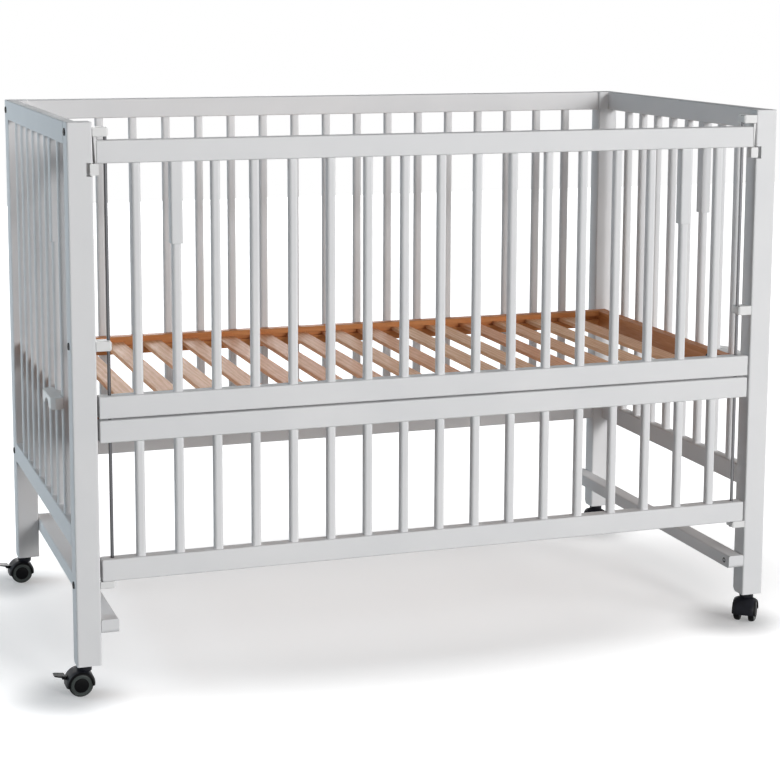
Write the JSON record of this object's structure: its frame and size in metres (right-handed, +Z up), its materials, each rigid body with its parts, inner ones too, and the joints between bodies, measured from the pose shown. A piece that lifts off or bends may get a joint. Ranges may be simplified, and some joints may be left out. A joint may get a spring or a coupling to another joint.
{
  "type": "bedside crib",
  "caption": "Barred wooden crib for the side of a bed, with a divided front gate, slip bars, a height-adjustable slatted base and castors.",
  "frame": {"origin": "on the floor, under the middle of the crib", "axes": "+Z up, +X along the length to the right of someone who faces the gates, +Y away from the gates"},
  "size_m": [1.2964, 0.7046, 0.924],
  "materials": {
    "white_paint": "satin white paint on beech",
    "beech": "clear matt lacquer",
    "white_plastic": "satin moulded",
    "rod_steel": "dark zinc",
    "dark_steel": "blackened",
    "spring_steel": "drawn wire",
    "castor_housing": "satin black moulded",
    "castor_tyre": "satin black"
  },
  "bodies": {
    "frame": {"left_front_post": "white_paint", "left_rear_post": "white_paint", "left_end_panel": "white_paint", "left_end_sleeve": "white_paint", "left_end_slip_spring": "spring_steel", "left_stretcher": "white_paint", "left_guide_rod": "rod_steel", "left_top_rod_bracket": "white_plastic", "left_middle_rod_bracket": "white_plastic", "left_bottom_rod_bracket": "white_plastic", "left_top_bracket_bolt": "dark_steel", "left_middle_bracket_bolt": "dark_steel", "left_bottom_bracket_bolt": "dark_steel", "left_top_rear_bolt": "dark_steel", "left_bottom_rear_bolt": "dark_steel", "right_front_post": "white_paint", "right_rear_post": "white_paint", "right_end_panel": "white_paint", "right_end_sleeve": "white_paint", "right_end_slip_spring": "spring_steel", "right_stretcher": "white_paint", "right_guide_rod": "rod_steel", "right_top_rod_bracket": "white_plastic", "right_middle_rod_bracket": "white_plastic", "right_bottom_rod_bracket": "white_plastic", "right_top_bracket_bolt": "dark_steel", "right_middle_bracket_bolt": "dark_steel", "right_bottom_bracket_bolt": "dark_steel", "right_top_rear_bolt": "dark_steel", "right_bottom_rear_bolt": "dark_steel", "rear_panel": "white_paint", "lower_gate_panel": "white_paint"},
    "upper_gate": {"upper_gate_panel": "white_paint", "left_gate_sleeve": "white_paint", "right_gate_sleeve": "white_paint", "left_gate_slip_spring": "spring_steel", "right_gate_slip_spring": "spring_steel"},
    "base": {"base_frame": "beech", "left_base_grip": "white_plastic", "right_base_grip": "white_plastic", "left_clamp_bolt": "dark_steel", "right_clamp_bolt": "dark_steel"},
    "left_latch": {"left_latch": "white_plastic"},
    "left_gate_slip_bar": {"left_gate_slip_bar": "white_paint"},
    "left_end_slip_bar": {"left_end_slip_bar": "white_paint"},
    "right_latch": {"right_latch": "white_plastic"},
    "right_gate_slip_bar": {"right_gate_slip_bar": "white_paint"},
    "right_end_slip_bar": {"right_end_slip_bar": "white_paint"},
    "left_front_castor": {"left_front_castor_housing": "castor_housing"},
    "left_front_wheels": {"left_front_castor_wheels": "castor_tyre"},
    "left_front_pedal": {"left_front_brake_pedal": "castor_housing"},
    "left_rear_castor": {"left_rear_castor_housing": "castor_housing"},
    "left_rear_wheels": {"left_rear_castor_wheels": "castor_tyre"},
    "left_rear_pedal": {"left_rear_brake_pedal": "castor_housing"},
    "right_front_castor": {"right_front_castor_housing": "castor_housing"},
    "right_front_wheels": {"right_front_castor_wheels": "castor_tyre"},
    "right_rear_castor": {"right_rear_castor_housing": "castor_housing"},
    "right_rear_wheels": {"right_rear_castor_wheels": "castor_tyre"}
  },
  "joints": [
    {"name": "upper_gate_lift", "type": "slide", "parent": "frame", "child": "upper_gate", "axis": [0, 0, 1], "range_m": [0, 0.0055]},
    {"name": "base_height", "type": "slide", "parent": "frame", "child": "base", "axis": [0, 0, 1], "range_m": [-0.17, 0]},
    {"name": "left_latch_push", "type": "hinge", "parent": "frame", "child": "left_latch", "pos_m": [-0.56955, -0.32267, 0.901], "axis": [0, 1, 0], "range_deg": [0, 5.3], "stiffness_Nm_per_rad": 2.5, "springref_deg": -2.86},
    {"name": "left_gate_slip_bar_lift", "type": "slide", "parent": "upper_gate", "child": "left_gate_slip_bar", "axis": [0, 0, 1], "range_m": [0, 0.012], "stiffness_N_per_m": 300, "springref_m": -0.02, "deforming": ["left_gate_slip_spring"]},
    {"name": "left_end_slip_bar_lift", "type": "slide", "parent": "frame", "child": "left_end_slip_bar", "axis": [0, 0, 1], "range_m": [0, 0.012], "stiffness_N_per_m": 300, "springref_m": -0.02, "deforming": ["left_end_slip_spring"]},
    {"name": "right_latch_push", "type": "hinge", "parent": "frame", "child": "right_latch", "pos_m": [0.58905, -0.32267, 0.901], "axis": [0, -1, 0], "range_deg": [0, 5.3], "stiffness_Nm_per_rad": 2.5, "springref_deg": -2.86},
    {"name": "right_gate_slip_bar_lift", "type": "slide", "parent": "upper_gate", "child": "right_gate_slip_bar", "axis": [0, 0, 1], "range_m": [0, 0.012], "stiffness_N_per_m": 300, "springref_m": -0.02, "deforming": ["right_gate_slip_spring"]},
    {"name": "right_end_slip_bar_lift", "type": "slide", "parent": "frame", "child": "right_end_slip_bar", "axis": [0, 0, 1], "range_m": [0, 0.012], "stiffness_N_per_m": 300, "springref_m": -0.02, "deforming": ["right_end_slip_spring"]},
    {"name": "left_front_castor_swivel", "type": "hinge", "parent": "frame", "child": "left_front_castor", "pos_m": [-0.59175, -0.31167, 0.05], "axis": [0, 0, 1], "continuous": true},
    {"name": "left_front_wheels_roll", "type": "hinge", "parent": "left_front_castor", "child": "left_front_wheels", "pos_m": [-0.60575, -0.31167, 0.02], "axis": [0, 1, 0], "continuous": true},
    {"name": "left_front_brake_pedal_press", "type": "hinge", "parent": "left_front_castor", "child": "left_front_pedal", "pos_m": [-0.62275, -0.31167, 0.029], "axis": [0, -1, 0], "range_deg": [0, 10]},
    {"name": "left_rear_castor_swivel", "type": "hinge", "parent": "frame", "child": "left_rear_castor", "pos_m": [-0.59175, 0.33033, 0.05], "axis": [0, 0, 1], "continuous": true},
    {"name": "left_rear_wheels_roll", "type": "hinge", "parent": "left_rear_castor", "child": "left_rear_wheels", "pos_m": [-0.60575, 0.33033, 0.02], "axis": [0, 1, 0], "continuous": true},
    {"name": "left_rear_brake_pedal_press", "type": "hinge", "parent": "left_rear_castor", "child": "left_rear_pedal", "pos_m": [-0.62275, 0.33033, 0.029], "axis": [0, -1, 0], "range_deg": [0, 10]},
    {"name": "right_front_castor_swivel", "type": "hinge", "parent": "frame", "child": "right_front_castor", "pos_m": [0.61125, -0.31167, 0.05], "axis": [0, 0, 1], "continuous": true},
    {"name": "right_front_wheels_roll", "type": "hinge", "parent": "right_front_castor", "child": "right_front_wheels", "pos_m": [0.60225, -0.32239, 0.02], "axis": [-0.766, 0.6428, 0], "continuous": true},
    {"name": "right_rear_castor_swivel", "type": "hinge", "parent": "frame", "child": "right_rear_castor", "pos_m": [0.61125, 0.33033, 0.05], "axis": [0, 0, 1], "continuous": true},
    {"name": "right_rear_wheels_roll", "type": "hinge", "parent": "right_rear_castor", "child": "right_rear_wheels", "pos_m": [0.60225, 0.31961, 0.02], "axis": [-0.766, 0.6428, 0], "continuous": true}
  ]
}
